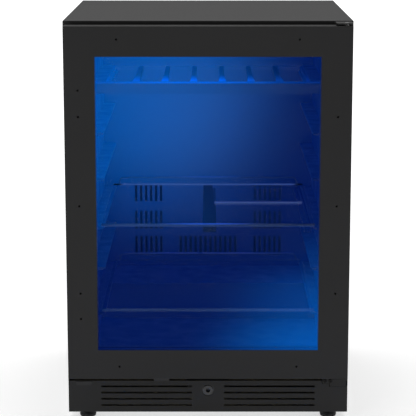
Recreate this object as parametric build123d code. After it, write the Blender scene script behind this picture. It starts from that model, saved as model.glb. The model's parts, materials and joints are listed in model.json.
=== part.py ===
from build123d import *
import os

# Undercounter beverage refrigerator with a glass door hinged on the right, in millimetres.
# +X is to the right, +Y to the back, +Z up. The origin is on the floor, under the middle of
# the object's box. Depths are counted back from the front face of the door.

# ---- driving dimensions ----
CABINET_W = 600.0
OVERALL_D = 606.0
OVERALL_H = 864.0
DOOR_W = 592.0
DOOR_BOTTOM = 110.5
DOOR_TOP = 857.0
DOOR_DEPTH = 38.0
CABINET_FRONT = 47.0
WINDOW_W = 464.0
WINDOW_BOTTOM = 173.4
WINDOW_TOP = 794.6
BASE_BOTTOM = 22.0
BASE_TOP = 91.5
CAVITY_W = 496.0
CAVITY_BOTTOM = 144.0
CAVITY_TOP = 819.0
CAVITY_BACK = 566.0
STEP_DEPTH = 361.0
STEP_TOP = 226.0
DUCT_DEPTH = 533.0
RACK_TOP = 732.0
SHELF_UPPER_TOP = 432.0
SHELF_LOWER_TOP = 245.5
GLASS_SHELF_T = 6.5

# ---- material thicknesses and clearances ----
SHEET = 1.2
LINER_T = 2.0
PANE_T = 4.0
GAP = 0.2
RUNNING = 0.05

# ---- values worked out from the driving dimensions ----
HALF_W = CABINET_W / 2
HALF_CAVITY = CAVITY_W / 2
HALF_DOOR = DOOR_W / 2
HALF_WINDOW = WINDOW_W / 2
SHELL_IN = HALF_W - SHEET
TOP_UNDER = OVERALL_H - SHEET
DOOR_MID = (DOOR_BOTTOM + DOOR_TOP) / 2


def depth(d):
    """Y of a point that lies d behind the door's front face."""
    return d - OVERALL_D / 2


def block(x0, x1, d0, d1, z0, z1):
    """A box between two X values, two depths and two heights."""
    size = Box(x1 - x0, d1 - d0, z1 - z0)
    return Pos((x0 + x1) / 2, depth((d0 + d1) / 2), (z0 + z1) / 2) * size


def along_y(x, z, r, d0, d1):
    """A cylinder along Y between two depths."""
    return Pos(x, depth((d0 + d1) / 2), z) * Rot(90, 0, 0) * Cylinder(r, d1 - d0)


def along_x(d, z, r, x0, x1):
    """A cylinder along X."""
    return Pos((x0 + x1) / 2, depth(d), z) * Rot(0, 90, 0) * Cylinder(r, x1 - x0)


def upright(x, d, r, z0, z1):
    """A cylinder along Z."""
    return Pos(x, depth(d), (z0 + z1) / 2) * Cylinder(r, z1 - z0)


def ring(outer, inner, d0, d1):
    """A frame between depths. outer and inner are (half width, bottom, top)."""
    full = block(-outer[0], outer[0], d0, d1, outer[1], outer[2])
    return full - block(-inner[0], inner[0], d0 - 1, d1 + 1, inner[1], inner[2])


def tube_along(points, r, bend):
    """A round bar along straight runs joined by arcs. Points are (x, depth, z)."""
    path = FilletPolyline(*[(x, depth(d), z) for x, d, z in points], radius=bend)
    section = Plane(origin=path @ 0, z_dir=path % 0) * Circle(r)
    return sweep(section, path=path)


def mirrored(part):
    """The part and its mirror image across the middle plane."""
    return [part, mirror(part, about=Plane.YZ)]


def cut_all(part, tools):
    """The part with every tool cut from it."""
    for tool in tools:
        part = part - tool
    return part


NODES = {}


def node(name, solids):
    """Keeps a node: one solid, or a list of separate ones."""
    NODES[name] = solids if isinstance(solids, list) else [solids]


# ---- door ----
PILOT_R = 2.25
PILOT_DEPTH = 14.0
PILOT_ROW_X = 187.0
PILOT_ROW_INSET = 27.0
PILOT_COLUMN_X = 267.0
PILOT_PITCH = 187.0
PILOT_OUTER = 242.0
HINGE_X = 284.0
HINGE_DEPTH = 19.0
PIN_R = 4.0
BUSH_R = 7.0
BUSH_L = 16.0
SKIN_T = 2.0
CORE_BACK = 36.0
GLASS_LAP = 10.0
OUTER_PANE = 2.5
INNER_PANE = 19.0


def pilot_holes():
    """Blind screw holes in the door face that a custom front panel is fastened with."""
    spots = []
    for side in (-1, 1):
        spots.append((side * PILOT_ROW_X, DOOR_TOP - PILOT_ROW_INSET))
        spots.append((side * PILOT_ROW_X, DOOR_BOTTOM + PILOT_ROW_INSET))
        for rise in (-PILOT_PITCH, 0, PILOT_PITCH):
            spots.append((side * PILOT_COLUMN_X, DOOR_MID + rise))
    for rise in (-PILOT_OUTER, PILOT_OUTER):
        spots.append((-PILOT_COLUMN_X, DOOR_MID + rise))
    return [along_y(x, z, PILOT_R, -1, PILOT_DEPTH) for x, z in spots]


def bush_holes():
    """The two bores that the hinge bushes sit in."""
    low = upright(HINGE_X, HINGE_DEPTH, BUSH_R, DOOR_BOTTOM - 1, DOOR_BOTTOM + BUSH_L)
    high = upright(HINGE_X, HINGE_DEPTH, BUSH_R, DOOR_TOP - BUSH_L, DOOR_TOP + 1)
    return [low, high]


def door_face_frame():
    """The sheet-metal pan: a face with the window cut out, and a rim folded back all round."""
    outline = (HALF_DOOR, DOOR_BOTTOM, DOOR_TOP)
    inside = (HALF_DOOR - SKIN_T, DOOR_BOTTOM + SKIN_T, DOOR_TOP - SKIN_T)
    face = block(-HALF_DOOR, HALF_DOOR, 0, CORE_BACK, DOOR_BOTTOM, DOOR_TOP)
    face = fillet(face.edges().group_by(Axis.Y)[0], 1.0)
    window = block(-HALF_WINDOW, HALF_WINDOW, -1, 5, WINDOW_BOTTOM, WINDOW_TOP)
    hollow = block(-inside[0], inside[0], SKIN_T, CORE_BACK + 1, inside[1], inside[2])
    return cut_all(face, [window, hollow] + pilot_holes() + bush_holes())


def door_core():
    """Two stiles and two rails that fill the pan and hold the glass in a groove."""
    x1 = HALF_DOOR - SKIN_T
    z0 = DOOR_BOTTOM + SKIN_T
    z1 = DOOR_TOP - SKIN_T
    stiles = mirrored(block(HALF_WINDOW, x1, SKIN_T, CORE_BACK, z0, z1))
    rails = [
        block(-HALF_WINDOW, HALF_WINDOW, SKIN_T, CORE_BACK, z0, WINDOW_BOTTOM),
        block(-HALF_WINDOW, HALF_WINDOW, SKIN_T, CORE_BACK, WINDOW_TOP, z1),
    ]
    lap = GLASS_LAP + 0.4
    groove = block(-HALF_WINDOW - lap, HALF_WINDOW + lap, SKIN_T - 1, INNER_PANE + PANE_T + 0.3,
                   WINDOW_BOTTOM - lap, WINDOW_TOP + lap)
    return [cut_all(bar, [groove] + pilot_holes() + bush_holes()) for bar in stiles + rails]


def door_pane(front):
    """One glass pane of the sealed unit."""
    x = HALF_WINDOW + GLASS_LAP
    return block(-x, x, front, front + PANE_T, WINDOW_BOTTOM - GLASS_LAP, WINDOW_TOP + GLASS_LAP)


def around_window(grow):
    """Half width, bottom and top of the window grown by a margin."""
    return (HALF_WINDOW + grow, WINDOW_BOTTOM - grow, WINDOW_TOP + grow)


def around_cavity(grow):
    """Half width, bottom and top of the cavity's mouth grown by a margin."""
    return (HALF_CAVITY + grow, CAVITY_BOTTOM - grow, CAVITY_TOP + grow)


def gasket():
    """The soft seal between the door and the cabinet's front, with a bellows groove in its side."""
    seal = ring(around_cavity(18), around_cavity(4), DOOR_DEPTH, CABINET_FRONT - 0.3)
    groove = ring(around_cavity(19), around_cavity(15), DOOR_DEPTH + 3, DOOR_DEPTH + 5.5)
    return seal - groove


STRIKE_T = 2.0
STRIKE_X0 = -36.0
STRIKE_X1 = 16.0
STRIKE_FRONT = 12.0
STRIKE_BACK = 78.0
SLOT_X0 = -29.0
SLOT_X1 = 7.0
SLOT_FRONT = 62.0
SLOT_BACK = 73.0


def lock_strike():
    """A plate under the door, with a slot that the lock's cam swings up through."""
    plate = block(STRIKE_X0, STRIKE_X1, STRIKE_FRONT, STRIKE_BACK, DOOR_BOTTOM - STRIKE_T, DOOR_BOTTOM)
    plate = fillet(plate.edges().filter_by(Axis.Z), 3)
    slot = block(SLOT_X0, SLOT_X1, SLOT_FRONT, SLOT_BACK, DOOR_BOTTOM - 5, DOOR_BOTTOM + 1)
    return plate - slot


def hinge_bushes():
    """Plain bushes in the door's bottom and top edges, each round a hinge pin."""
    bore = upright(HINGE_X, HINGE_DEPTH, PIN_R + RUNNING, DOOR_BOTTOM - 1, DOOR_TOP + 1)
    low = upright(HINGE_X, HINGE_DEPTH, BUSH_R, DOOR_BOTTOM, DOOR_BOTTOM + BUSH_L)
    high = upright(HINGE_X, HINGE_DEPTH, BUSH_R, DOOR_TOP - BUSH_L, DOOR_TOP)
    return [low - bore, high - bore]


node("door_face_frame", door_face_frame())
node("door_core", door_core())
node("door_glass_outer", door_pane(OUTER_PANE))
node("door_glass_inner", door_pane(INNER_PANE))
node("door_glass_spacer", ring(around_window(8), around_window(1), OUTER_PANE + PANE_T, INNER_PANE))
node("door_inner_cover", ring((HALF_DOOR - SKIN_T, DOOR_BOTTOM + SKIN_T, DOOR_TOP - SKIN_T),
                              around_window(6), CORE_BACK, DOOR_DEPTH))
node("door_gasket", gasket())
node("lock_strike", lock_strike())
node("hinge_bushes", hinge_bushes())

# ---- hinges on the cabinet ----
PLATE_T = 3.0
PLATE_X0 = 262.0
PLATE_X1 = 296.0
TOP_PLATE_Z = TOP_UNDER - GAP - PLATE_T
LOW_PLATE_Z = 105.3
PIN_REACH = 14.0
BRACKET_X0 = 245.5
BRACKET_Z = 86.0
BRACKET_SCREWS = (251.0, 263.0)
BRACKET_SCREW_Z = 92.0
BRACKET_SCREW_R = 2.4
NOTCH_X0 = 244.5
NOTCH_STEP = 85.0
NOTCH_BOTTOM = 78.0


def hinge_plate_top():
    """A plate that reaches forward from under the top panel, over the door."""
    plate = block(PLATE_X0, PLATE_X1, 5, 120, TOP_PLATE_Z, TOP_PLATE_Z + PLATE_T)
    plate = fillet(plate.edges().filter_by(Axis.Z).group_by(Axis.Y)[0], 6)
    return plate - upright(HINGE_X, HINGE_DEPTH, PIN_R, TOP_PLATE_Z - 1, OVERALL_H)


def hinge_plate_bottom():
    """An angle bracket: a shelf under the door, and a stepped leg down the front of the base."""
    shelf = block(PLATE_X0, PLATE_X1, 5, 100, LOW_PLATE_Z, LOW_PLATE_Z + PLATE_T)
    shelf = fillet(shelf.edges().filter_by(Axis.Z).group_by(Axis.Y)[0], 6)
    front = CABINET_FRONT - 2
    leg = block(BRACKET_X0, PLATE_X1, front, front + PLATE_T, BRACKET_Z, LOW_PLATE_Z)
    leg = leg + block(PLATE_X0, PLATE_X1, front, front + PLATE_T, NOTCH_BOTTOM + 1, BRACKET_Z)
    holes = [along_y(x, BRACKET_SCREW_Z, BRACKET_SCREW_R, 40, 55) for x in BRACKET_SCREWS]
    holes.append(upright(HINGE_X, HINGE_DEPTH, PIN_R, LOW_PLATE_Z - 1, LOW_PLATE_Z + PLATE_T + 1))
    return cut_all(shelf + leg, holes)


def hinge_pins():
    """Two steel pins pressed into the plates."""
    low = upright(HINGE_X, HINGE_DEPTH, PIN_R, LOW_PLATE_Z, DOOR_BOTTOM + PIN_REACH)
    high = upright(HINGE_X, HINGE_DEPTH, PIN_R, DOOR_TOP - PIN_REACH, TOP_PLATE_Z + PLATE_T)
    return [low, high]


def pan_head_screw(x, z, face, shank, head_r, shank_r):
    """A screw along Y whose head stands in front of a face."""
    head = fillet(along_y(x, z, head_r, face - 2.2, face).edges().group_by(Axis.Y)[0], 1.0)
    recess = block(x - 2, x + 2, face - 3, face - 1, z - 0.5, z + 0.5)
    cross = block(x - 0.5, x + 0.5, face - 3, face - 1, z - 2, z + 2)
    return head + along_y(x, z, shank_r, face, face + shank) - recess - cross


node("hinge_plate_top", hinge_plate_top())
node("hinge_plate_bottom", hinge_plate_bottom())
node("hinge_pins", hinge_pins())
node("hinge_screws", [pan_head_screw(x, BRACKET_SCREW_Z, CABINET_FRONT - 2, 16, 4.2, BRACKET_SCREW_R)
                      for x in BRACKET_SCREWS])

# ---- cabinet shell ----
FOAM_BACK = 590.0
FOAM_BOTTOM = 110.5
SERVICE_TOP = 196.0
SILL_BOTTOM = 111.0
FLANGE_BOTTOM = 105.0
CAM_POCKET = 46.0
CAM_POCKET_TOP = 120.0
FOLD_R = 1.0
PAN_BOTTOM = 24.0
PAN_TOP = 26.0
PAN_FRONT = 62.0
STEM_R = 5.0
LEG_SPOTS = [(-262, 92), (262, 92), (-262, 560), (262, 560)]
GLAND_X = -245.0
GLAND_Z = 50.0
GLAND_R = 8.0
CORD_R = 4.5
COVER_SLOT_W = 70.0
COVER_SLOT_H = 5.0


def side_panel():
    """The right side: an outer sheet and the flange of the cabinet's face, folded from one piece."""
    wall = block(SHELL_IN, HALF_W, CABINET_FRONT, OVERALL_D, BASE_BOTTOM, TOP_UNDER)
    wall = fillet(wall.edges().filter_by(Axis.Z).group_by(Axis.X)[-1], FOLD_R)
    flange = block(HALF_CAVITY, SHELL_IN, CABINET_FRONT, CABINET_FRONT + SHEET, FLANGE_BOTTOM, TOP_UNDER)
    return wall + flange


def top_panel():
    """The top sheet with the header of the cabinet's face folded down from its front edge."""
    sheet = block(-HALF_W, HALF_W, CABINET_FRONT, OVERALL_D, TOP_UNDER, OVERALL_H)
    sheet = fillet(sheet.edges().group_by(Axis.Z)[-1], FOLD_R)
    header = block(-HALF_CAVITY, HALF_CAVITY, CABINET_FRONT, CABINET_FRONT + SHEET, CAVITY_TOP, TOP_UNDER)
    return sheet + header


def service_cover():
    """The lower rear cover, louvred, with a hole for the cord gland."""
    d0 = OVERALL_D - SHEET
    cover = block(-SHELL_IN + GAP, SHELL_IN - GAP, d0, OVERALL_D, BASE_BOTTOM + 4, SERVICE_TOP)
    slots = []
    for column in range(5):
        for row in range(6):
            x = -190 + column * 95
            z = 66 + row * 20
            slots.append(block(x - COVER_SLOT_W / 2, x + COVER_SLOT_W / 2, d0 - 1, OVERALL_D + 1,
                               z, z + COVER_SLOT_H))
    return cut_all(cover, slots + [along_y(GLAND_X, GLAND_Z, GLAND_R, d0 - 1, OVERALL_D + 1)])


def base_pan():
    """The floor of the machine space, with a weld nut over each leg hole."""
    floor = block(-SHELL_IN + GAP, SHELL_IN - GAP, PAN_FRONT, OVERALL_D - SHEET - GAP,
                  PAN_BOTTOM, PAN_TOP)
    lip = block(SHELL_IN - 2.2, SHELL_IN - GAP, PAN_FRONT, OVERALL_D - SHEET - GAP,
                PAN_TOP, PAN_TOP + 16)
    pan = floor + lip + mirror(lip, about=Plane.YZ)
    pan = cut_all(pan, [upright(x, d, STEM_R + 0.6, PAN_BOTTOM - 1, PAN_TOP + 1) for x, d in LEG_SPOTS])
    nuts = []
    for x, d in LEG_SPOTS:
        hexagon = extrude(Plane(origin=(x, depth(d), PAN_TOP)) * RegularPolygon(9.5, 6), amount=10)
        nuts.append(hexagon - upright(x, d, STEM_R + RUNNING, PAN_TOP - 1, PAN_TOP + 11))
    return [pan] + nuts


def front_sill():
    """The strip of the cabinet's face under the opening."""
    return block(-HALF_CAVITY, HALF_CAVITY, CABINET_FRONT, CABINET_FRONT + SHEET, SILL_BOTTOM,
                 CAVITY_BOTTOM)


hinge_notch = block(PLATE_X0 - 1, PLATE_X1 + 1, CABINET_FRONT - 1, CABINET_FRONT + SHEET + 1,
                    TOP_PLATE_Z - 0.6, TOP_UNDER)
bracket_notch = block(PLATE_X0 - 1, PLATE_X1 + 1, CABINET_FRONT - 1, CABINET_FRONT + SHEET + 1,
                      FLANGE_BOTTOM - 1, LOW_PLATE_Z + PLATE_T + 0.6)
right_panel = side_panel()
node("side_panel_right", cut_all(right_panel, [hinge_notch, bracket_notch]))
node("side_panel_left", mirror(right_panel, about=Plane.YZ))
node("top_panel", top_panel())
node("back_panel", block(-SHELL_IN + GAP, SHELL_IN - GAP, OVERALL_D - SHEET, OVERALL_D,
                         SERVICE_TOP + 1, TOP_UNDER - GAP))
node("service_cover", service_cover())
node("base_pan", base_pan())
node("front_sill", front_sill())

# ---- liner and insulation ----
LEDGE_REACH = 28.0
LEDGE_H = 10.0
LEDGE_FRONT = 70.0
LEDGE_BACK = 530.0
SPARE_LEDGES = (627.0, 530.0, 337.0)
LINER_FRONT = CABINET_FRONT + SHEET + GAP
LEDGE_TOPS = (SHELF_UPPER_TOP - GLASS_SHELF_T, SHELF_LOWER_TOP - GLASS_SHELF_T) + SPARE_LEDGES
PIPE_R = 3.0
PIPE_CHASE = 597.0
PIPE_ENTRIES = ((40.0, 640.0), (0.0, 600.0))


def liner_right():
    """The right wall of the cavity, with a moulded ledge at each shelf height."""
    wall = block(HALF_CAVITY, HALF_CAVITY + LINER_T, LINER_FRONT, CAVITY_BACK, CAVITY_BOTTOM, CAVITY_TOP)
    for top in LEDGE_TOPS:
        back = LEDGE_BACK if top > STEP_TOP + LEDGE_H else STEP_DEPTH
        outline = Polyline((HALF_CAVITY, top), (HALF_CAVITY - LEDGE_REACH, top),
                           (HALF_CAVITY - LEDGE_REACH, top - 4), (HALF_CAVITY, top - LEDGE_H), close=True)
        section = Plane(origin=(0, depth(LEDGE_FRONT), 0), x_dir=(1, 0, 0), z_dir=(0, -1, 0)) * outline
        wall = wall + extrude(make_face(section), amount=-(back - LEDGE_FRONT))
    return wall


def liner_floor():
    """The cavity's floor, and the step over the machine space at the back."""
    low = block(-HALF_CAVITY, HALF_CAVITY, LINER_FRONT, STEP_DEPTH + LINER_T,
                CAVITY_BOTTOM - LINER_T, CAVITY_BOTTOM)
    riser = block(-HALF_CAVITY, HALF_CAVITY, STEP_DEPTH, STEP_DEPTH + LINER_T, CAVITY_BOTTOM, STEP_TOP)
    high = block(-HALF_CAVITY, HALF_CAVITY, STEP_DEPTH, CAVITY_BACK, STEP_TOP - LINER_T, STEP_TOP)
    return low + riser + high


def pipe_holes(d0, d1):
    """Clear holes where the two pipes come through to the evaporator."""
    return [along_y(x, z, PIPE_R + 1, d0, d1) for x, z in PIPE_ENTRIES]


def liner_back():
    """The cavity's back wall and its ceiling, as two sheets that meet at the top corner."""
    x = HALF_CAVITY + LINER_T
    back = block(-x, x, CAVITY_BACK, CAVITY_BACK + LINER_T, STEP_TOP - LINER_T, CAVITY_TOP + LINER_T)
    ceiling = block(-x, x, LINER_FRONT, CAVITY_BACK, CAVITY_TOP, CAVITY_TOP + LINER_T)
    return [cut_all(back, pipe_holes(CAVITY_BACK - 1, CAVITY_BACK + LINER_T + 1)), ceiling]


def insulation():
    """Rigid foam that fills the walls, in blocks that meet face to face."""
    inner = HALF_CAVITY + LINER_T
    d0 = LINER_FRONT + GAP
    top = TOP_PLATE_Z - GAP
    machine = STEP_DEPTH + 42
    sides = block(inner + GAP, SHELL_IN - GAP, d0, FOAM_BACK, FOAM_BOTTOM, top)
    lid = block(-inner, inner, d0, FOAM_BACK, CAVITY_TOP + LINER_T + GAP, top)
    back = block(-inner, inner, CAVITY_BACK + LINER_T + GAP, FOAM_BACK, STEP_TOP + 1, CAVITY_TOP)
    floor = block(-inner, inner, d0, machine, FOAM_BOTTOM, CAVITY_BOTTOM - LINER_T - GAP)
    floor = floor - block(-CAM_POCKET, CAM_POCKET, 40, 84, FOAM_BOTTOM - 1, CAM_POCKET_TOP)
    riser = block(-HALF_CAVITY, HALF_CAVITY, STEP_DEPTH + LINER_T + GAP, machine, CAVITY_BOTTOM,
                  SERVICE_TOP + 4)
    ledge = block(-HALF_CAVITY, HALF_CAVITY, STEP_DEPTH + LINER_T + GAP, FOAM_BACK, SERVICE_TOP + 4,
                  STEP_TOP - LINER_T - GAP)
    back = cut_all(back, pipe_holes(CAVITY_BACK, FOAM_BACK + 1))
    return mirrored(sides) + [lid, back, floor, riser, ledge]


node("liner_right", liner_right())
node("liner_left", mirror(NODES["liner_right"][0], about=Plane.YZ))
node("liner_floor", liner_floor())
node("liner_back", liner_back())
node("insulation", insulation())

# ---- air duct and cold side ----
LOUVRE_PITCH = 12.0
LOUVRE_W = 6.0
LOUVRE_ROWS = ((384.5, 425.0), (319.0, 362.0), (254.0, 302.0))
SIDE_GROUP_X = 143.0
FAN_X = 150.0
FAN_Z = 640.0
FAN_R = 55.0
SHAFT_R = 3.0


def louvre_group(middle, count, z0, z1):
    """Upright slots spaced evenly about a middle line."""
    cuts = []
    for i in range(count):
        x = middle + (i - (count - 1) / 2) * LOUVRE_PITCH
        cuts.append(block(x - LOUVRE_W / 2, x + LOUVRE_W / 2, DUCT_DEPTH - 1, DUCT_DEPTH + 3, z0, z1))
    return cuts


def duct_cover():
    """The false back of the cavity, with slots that the cold air comes through."""
    panel = block(-HALF_CAVITY + GAP, HALF_CAVITY - GAP, DUCT_DEPTH, DUCT_DEPTH + 2,
                  STEP_TOP + GAP, CAVITY_TOP - GAP)
    cuts = []
    for z0, z1 in LOUVRE_ROWS:
        cuts += louvre_group(-SIDE_GROUP_X, 6, z0, z1)
        cuts += louvre_group(SIDE_GROUP_X, 6, z0, z1)
    cuts += louvre_group(0, 12, *LOUVRE_ROWS[-1])
    return panel - Compound(cuts)


def evaporator_coil():
    """Rows of tube with thin fins across them, as one brazed pack."""
    coil = block(-200, -197, 541, 561, 480, 780) + block(47, 50, 541, 561, 480, 780)
    for row in range(7):
        coil = coil + along_x(551, 500 + row * 43, 4, -206, 56)
    for fin in range(1, 22):
        x = -200 + fin * 11.4
        coil = coil + block(x, x + 1, 543, 559, 484, 776)
    return coil


def bladed_wheel(count, r, width):
    """A fan wheel about +Z: a hub with a blind bore, and twisted blades."""
    wheel = Cylinder(15, width)
    for i in range(count):
        blade = Pos((r + 10) / 2, 0, 0) * Rot(32, 0, 0) * Box(r - 10, 24, 1.6)
        wheel = wheel + Rot(0, 0, i * 360 / count) * blade
    wheel = wheel & Cylinder(r, width)
    return wheel - Pos(0, 0, -width / 2 + 3) * Cylinder(SHAFT_R + RUNNING, width)


def fan_motor_y(x, z, r, d0, d1, tip):
    """A motor can behind a wheel, with its shaft along Y reaching forward to a depth."""
    return along_y(x, z, r, d0, d1) + along_y(x, z, SHAFT_R, tip, d0)


node("duct_cover", duct_cover())
node("evaporator_coil", evaporator_coil())
node("evaporator_fan_motor", fan_motor_y(FAN_X, FAN_Z, 20, 553, CAVITY_BACK, 544.5))
node("evaporator_fan_blade", Pos(FAN_X, depth(545.5), FAN_Z) * Rot(90, 0, 0)
     * bladed_wheel(7, FAN_R, 10))

# ---- machine space ----
CAN_X = 130.0
CAN_DEPTH = 500.0
CAN_R = 66.0
CAN_BOTTOM = 44.0
CAN_TOP = 164.0
COIL_X0 = -246.0
COIL_X1 = -132.0
COND_FAN_DEPTH = 490.0
COND_FAN_Z = 92.0
SHROUD_X = -128.0
DRIER_X = -20.0
DRIER_DEPTH = 582.0
DRIER_Z0 = 84.0
DRIER_Z1 = 150.0


def compressor():
    """A hermetic compressor can on its foot plate, with a terminal box on one side."""
    can = upright(CAN_X, CAN_DEPTH, CAN_R, CAN_BOTTOM, CAN_TOP)
    can = fillet(can.edges().group_by(Axis.Z)[-1], 26)
    plate = block(CAN_X - 88, CAN_X + 88, CAN_DEPTH - 52, CAN_DEPTH + 52, CAN_BOTTOM - 3, CAN_BOTTOM)
    box = block(CAN_X + CAN_R - 12, CAN_X + CAN_R + 20, CAN_DEPTH - 26, CAN_DEPTH + 26, 70, 130)
    return can + plate + box


def compressor_feet():
    """Four rubber mounts between the compressor's plate and the base pan."""
    feet = []
    for x in (CAN_X - 76, CAN_X + 76):
        for d in (CAN_DEPTH - 40, CAN_DEPTH + 40):
            foot = upright(x, d, 10, PAN_TOP, CAN_BOTTOM - 3)
            feet.append(fillet(foot.edges().group_by(Axis.Z)[0], 2))
    return feet


def condenser_coil():
    """A finned condenser: two end plates, tubes along X and thin fins."""
    coil = block(COIL_X0, COIL_X0 + 2, 424, 556, 30, 154) + block(COIL_X1 - 2, COIL_X1, 424, 556, 30, 154)
    for row in range(5):
        for column in range(4):
            coil = coil + along_x(442 + column * 32, 44 + row * 24, 4, COIL_X0, COIL_X1)
    for fin in range(1, 16):
        x = COIL_X0 + fin * (COIL_X1 - COIL_X0) / 16
        coil = coil + block(x, x + 0.8, 428, 552, 33, 151)
    return coil


def condenser_shroud():
    """A plate with a round opening in front of the condenser, and a bar that carries the motor."""
    plate = block(SHROUD_X, SHROUD_X + 3, 424, 556, PAN_TOP + 2, 154)
    plate = plate - along_x(COND_FAN_DEPTH, COND_FAN_Z, 57, SHROUD_X - 1, SHROUD_X + 4)
    bar = block(-79, -75, 424, 556, COND_FAN_Z - 8, COND_FAN_Z + 8)
    arms = block(SHROUD_X + 3, -79, 424, 428, COND_FAN_Z - 8, COND_FAN_Z + 8)
    arms = arms + block(SHROUD_X + 3, -79, 552, 556, COND_FAN_Z - 8, COND_FAN_Z + 8)
    return plate + bar + arms


def drain_pan():
    """An open tray that catches defrost water."""
    tray = block(-110, 90, 250, 385, PAN_TOP + 2, PAN_TOP + 34)
    tray = fillet(tray.edges().filter_by(Axis.Z), 8)
    return tray - block(-107, 87, 253, 382, PAN_TOP + 5, PAN_TOP + 40)


def refrigerant_pipes():
    """Discharge, suction and liquid lines."""
    x0, z0 = PIPE_ENTRIES[0]
    x1, z1 = PIPE_ENTRIES[1]
    coil_x = (COIL_X0 + COIL_X1) / 2
    discharge = tube_along([(CAN_X - 25, CAN_DEPTH, CAN_TOP), (CAN_X - 25, CAN_DEPTH, 182),
                            (coil_x, CAN_DEPTH, 182), (coil_x, CAN_DEPTH, 151)], PIPE_R, 8)
    suction = tube_along([(CAN_X + 10, CAN_DEPTH + 20, CAN_TOP), (CAN_X + 10, CAN_DEPTH + 20, 182),
                          (CAN_X + 10, PIPE_CHASE, 182), (CAN_X + 10, PIPE_CHASE, z0),
                          (x0, PIPE_CHASE, z0), (x0, 561, z0)], PIPE_R, 8)
    liquid = tube_along([(coil_x, 552, 60), (coil_x, DRIER_DEPTH, 60), (DRIER_X, DRIER_DEPTH, 60),
                         (DRIER_X, DRIER_DEPTH, DRIER_Z0)], PIPE_R, 8)
    feed = tube_along([(DRIER_X, DRIER_DEPTH, DRIER_Z1), (DRIER_X, DRIER_DEPTH, 186),
                       (DRIER_X, PIPE_CHASE, 186), (DRIER_X, PIPE_CHASE, z1), (x1, PIPE_CHASE, z1),
                       (x1, 561, z1)], PIPE_R, 5)
    return [discharge, suction, liquid, feed]


node("compressor", compressor())
node("compressor_feet", compressor_feet())
node("condenser_coil", condenser_coil())
node("condenser_fan_shroud", condenser_shroud())
node("condenser_fan_motor", along_x(COND_FAN_DEPTH, COND_FAN_Z, 22, -105, -79)
     + along_x(COND_FAN_DEPTH, COND_FAN_Z, SHAFT_R, -116.5, -105))
node("condenser_fan_blade", Pos(-114, depth(COND_FAN_DEPTH), COND_FAN_Z) * Rot(0, -90, 0)
     * bladed_wheel(5, 54, 14))
node("filter_drier", fillet(upright(DRIER_X, DRIER_DEPTH, 9, DRIER_Z0, DRIER_Z1).edges(), 3))
node("refrigerant_pipes", refrigerant_pipes())
node("drain_pan", drain_pan())
node("control_box", fillet(block(110, 250, 200, 380, PAN_TOP, 88).edges().filter_by(Axis.Z), 5))
node("cord_gland", (along_y(GLAND_X, GLAND_Z, 12, OVERALL_D - SHEET - 5, OVERALL_D - SHEET)
                    + along_y(GLAND_X, GLAND_Z, GLAND_R, OVERALL_D - SHEET, OVERALL_D)
                    - along_y(GLAND_X, GLAND_Z, CORD_R, OVERALL_D - 20, OVERALL_D + 1)))

# ---- lamps ----
node("led_bars", mirrored(block(HALF_CAVITY - 8, HALF_CAVITY - GAP, 54, 64, 250, 790))
     + [block(-220, 220, 54, 66, CAVITY_TOP - 8, CAVITY_TOP - GAP)])

# ---- base grille and lock ----
SLOT_L = 195.0
SLOT_H = 4.0
SLOT_INNER_X = 34.5
SLOT_FIRST_Z = 79.0
SLOT_PITCH = 14.0
GRILLE_T = 2.0
LOCK_Z = 70.5
LOCK_RING_R = 11.1
PLUG_R = 8.0
KEY_R = 4.6
CAM_FRONT = 66.0
CAM_T = 3.0
CAM_REACH = 45.0


def base_grille():
    """The kick plate: slots each side of the lock, and flanges folded back at top and bottom."""
    x = SHELL_IN - GAP
    d1 = CABINET_FRONT + GRILLE_T
    plate = block(-x, x, CABINET_FRONT, d1, BASE_BOTTOM, BASE_TOP)
    plate = plate + block(-x, x, d1, d1 + 12, BASE_TOP - GRILLE_T, BASE_TOP)
    plate = plate + block(-x, x, d1, d1 + 10, BASE_BOTTOM, BASE_BOTTOM + 1.6)
    cuts = [along_y(0, LOCK_Z, LOCK_RING_R + 2, 40, d1 + 1)]
    cuts.append(block(NOTCH_X0, PLATE_X0, 40, 80, NOTCH_STEP, BASE_TOP + 1))
    cuts.append(block(PLATE_X0 - 1, HALF_W, 40, 80, NOTCH_BOTTOM, BASE_TOP + 1))
    cuts.append(block(-CAM_POCKET, CAM_POCKET, d1 + 0.01, 80, BASE_TOP - GRILLE_T - 1, BASE_TOP + 1))
    for side in (-1, 1):
        middle = side * (SLOT_INNER_X + SLOT_L / 2)
        for row in range(4):
            z = SLOT_FIRST_Z - row * SLOT_PITCH
            cuts.append(block(middle - SLOT_L / 2, middle + SLOT_L / 2, 40, d1 + 1,
                              z - SLOT_H / 2, z + SLOT_H / 2))
    return cut_all(plate, cuts)


def lock_housing():
    """The lock's ring and barrel, with a flange behind the grille."""
    ring_part = along_y(0, LOCK_Z, LOCK_RING_R, CABINET_FRONT - 1.5, CAM_FRONT - 2)
    ring_part = fillet(ring_part.edges().group_by(Axis.Y)[0], 0.8)
    flange = along_y(0, LOCK_Z, 18, CABINET_FRONT + GRILLE_T, CABINET_FRONT + GRILLE_T + 2)
    return ring_part + flange - along_y(0, LOCK_Z, PLUG_R + RUNNING, 40, 80)


def lock_plug():
    """The turning cylinder with its round key hole."""
    plug = along_y(0, LOCK_Z, PLUG_R, CABINET_FRONT - 1.8, CAM_FRONT)
    return plug - along_y(0, LOCK_Z, KEY_R, 40, CABINET_FRONT + 8)


def lock_cam():
    """A flat cam that lies to the left when the lock is open and stands up when it is shut."""
    hub = along_y(0, LOCK_Z, 9, CAM_FRONT, CAM_FRONT + CAM_T)
    arm = block(-CAM_REACH, 0, CAM_FRONT, CAM_FRONT + CAM_T, LOCK_Z - 5, LOCK_Z + 5)
    arm = fillet(arm.edges().filter_by(Axis.Y).group_by(Axis.X)[0], 3)
    return hub + arm


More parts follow.
